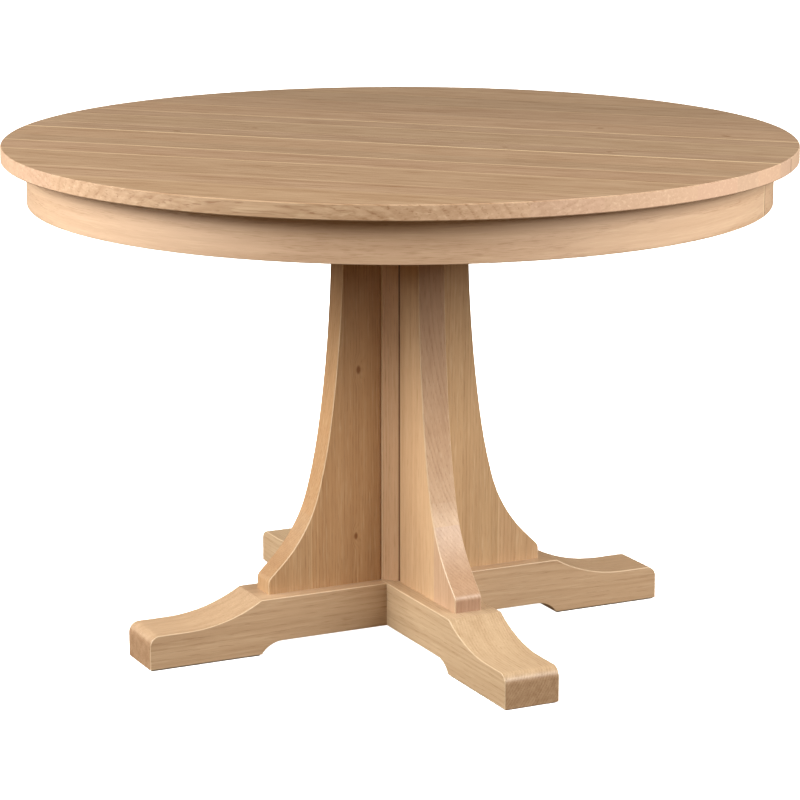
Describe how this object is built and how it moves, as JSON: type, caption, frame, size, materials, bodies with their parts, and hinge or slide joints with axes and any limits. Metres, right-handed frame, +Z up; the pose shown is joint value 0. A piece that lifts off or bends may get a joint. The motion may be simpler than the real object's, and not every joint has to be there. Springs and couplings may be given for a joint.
{
  "type": "round pedestal extension table",
  "caption": "Round oak table on a pedestal of curved wings over crossed arched feet; the split top pulls apart on geared slides.",
  "frame": {"origin": "on the floor under the middle of the round top", "axes": "+Z up; X along the top boards and the split; Y the way the two halves pull out; the feet lie at 45 degrees between them"},
  "size_m": [1.2, 1.1998, 0.77],
  "materials": {
    "oak_top": "satin lacquered oak boards",
    "oak_apron": "satin lacquered bent oak",
    "oak_pedestal": "satin lacquered oak",
    "oak_feet": "satin lacquered oak",
    "oak_inside": "sealed oak",
    "maple_slides": "waxed maple",
    "beech_dowels": "bare beech",
    "nylon_gear": "moulded nylon",
    "steel_screws": "zinc plated",
    "zinc_steel": "zinc plated",
    "lock_brass": "brass plated steel",
    "felt": "pressed wool felt"
  },
  "bodies": {
    "pedestal": {"centre_bolt": "zinc_steel", "centre_post": "oak_pedestal", "felt_pads": "felt", "fixed_rail_screws": "steel_screws", "front_wing_inner": "oak_pedestal", "front_wing_outer": "oak_pedestal", "head_board": "oak_inside", "head_screws": "steel_screws", "left_fixed_rail": "maple_slides", "left_wing_inner": "oak_pedestal", "left_wing_outer": "oak_pedestal", "lower_foot_beam": "oak_feet", "pinion_axle": "zinc_steel", "rear_wing_inner": "oak_pedestal", "rear_wing_outer": "oak_pedestal", "right_fixed_rail": "maple_slides", "right_wing_inner": "oak_pedestal", "right_wing_outer": "oak_pedestal", "upper_foot_beam": "oak_feet", "wing_dowels": "beech_dowels", "wing_lag_screws": "steel_screws"},
    "front_half": {"alignment_pins": "beech_dowels", "front_apron": "oak_apron", "front_board_1": "oak_top", "front_board_2": "oak_top", "front_board_3": "oak_top", "front_board_4": "oak_top", "front_board_5": "oak_top", "front_board_6": "oak_top", "front_board_7": "oak_top", "front_glue_blocks": "oak_inside", "front_left_rail": "maple_slides", "front_rack": "nylon_gear", "front_right_rail": "maple_slides", "front_screws": "steel_screws", "lock_plates": "lock_brass"},
    "rear_half": {"lock_keepers": "lock_brass", "rear_apron": "oak_apron", "rear_board_1": "oak_top", "rear_board_2": "oak_top", "rear_board_3": "oak_top", "rear_board_4": "oak_top", "rear_board_5": "oak_top", "rear_board_6": "oak_top", "rear_glue_blocks": "oak_inside", "rear_left_rail": "maple_slides", "rear_rack": "nylon_gear", "rear_right_rail": "maple_slides", "rear_screws": "steel_screws"},
    "equalizer_pinion": {"equalizer_pinion": "nylon_gear"},
    "left_lock_lever": {"left_lock_lever": "lock_brass"},
    "right_lock_lever": {"right_lock_lever": "lock_brass"}
  },
  "joints": [
    {"name": "front_pull", "type": "slide", "parent": "pedestal", "child": "front_half", "axis": [0, -1, 0], "range_m": [0, 0.305]},
    {"name": "rear_pull", "type": "slide", "parent": "pedestal", "child": "rear_half", "axis": [0, 1, 0], "range_m": [0, 0.305]},
    {"name": "pinion_turn", "type": "hinge", "parent": "pedestal", "child": "equalizer_pinion", "pos_m": [0, 0, 0.7265], "axis": [0, 0, -1], "range_deg": [0, 728.2]},
    {"name": "left_lock_turn", "type": "hinge", "parent": "front_half", "child": "left_lock_lever", "pos_m": [-0.4, -0.024, 0.74], "axis": [0, 0, 1], "range_deg": [0, 90]},
    {"name": "right_lock_turn", "type": "hinge", "parent": "front_half", "child": "right_lock_lever", "pos_m": [0.4, -0.024, 0.74], "axis": [0, 0, 1], "range_deg": [0, 90]}
  ],
  "couplings": [
    {"joint": "rear_pull", "follows": "front_pull", "ratio": 1},
    {"joint": "pinion_turn", "follows": "front_pull", "rad_per_m": 41.667}
  ]
}
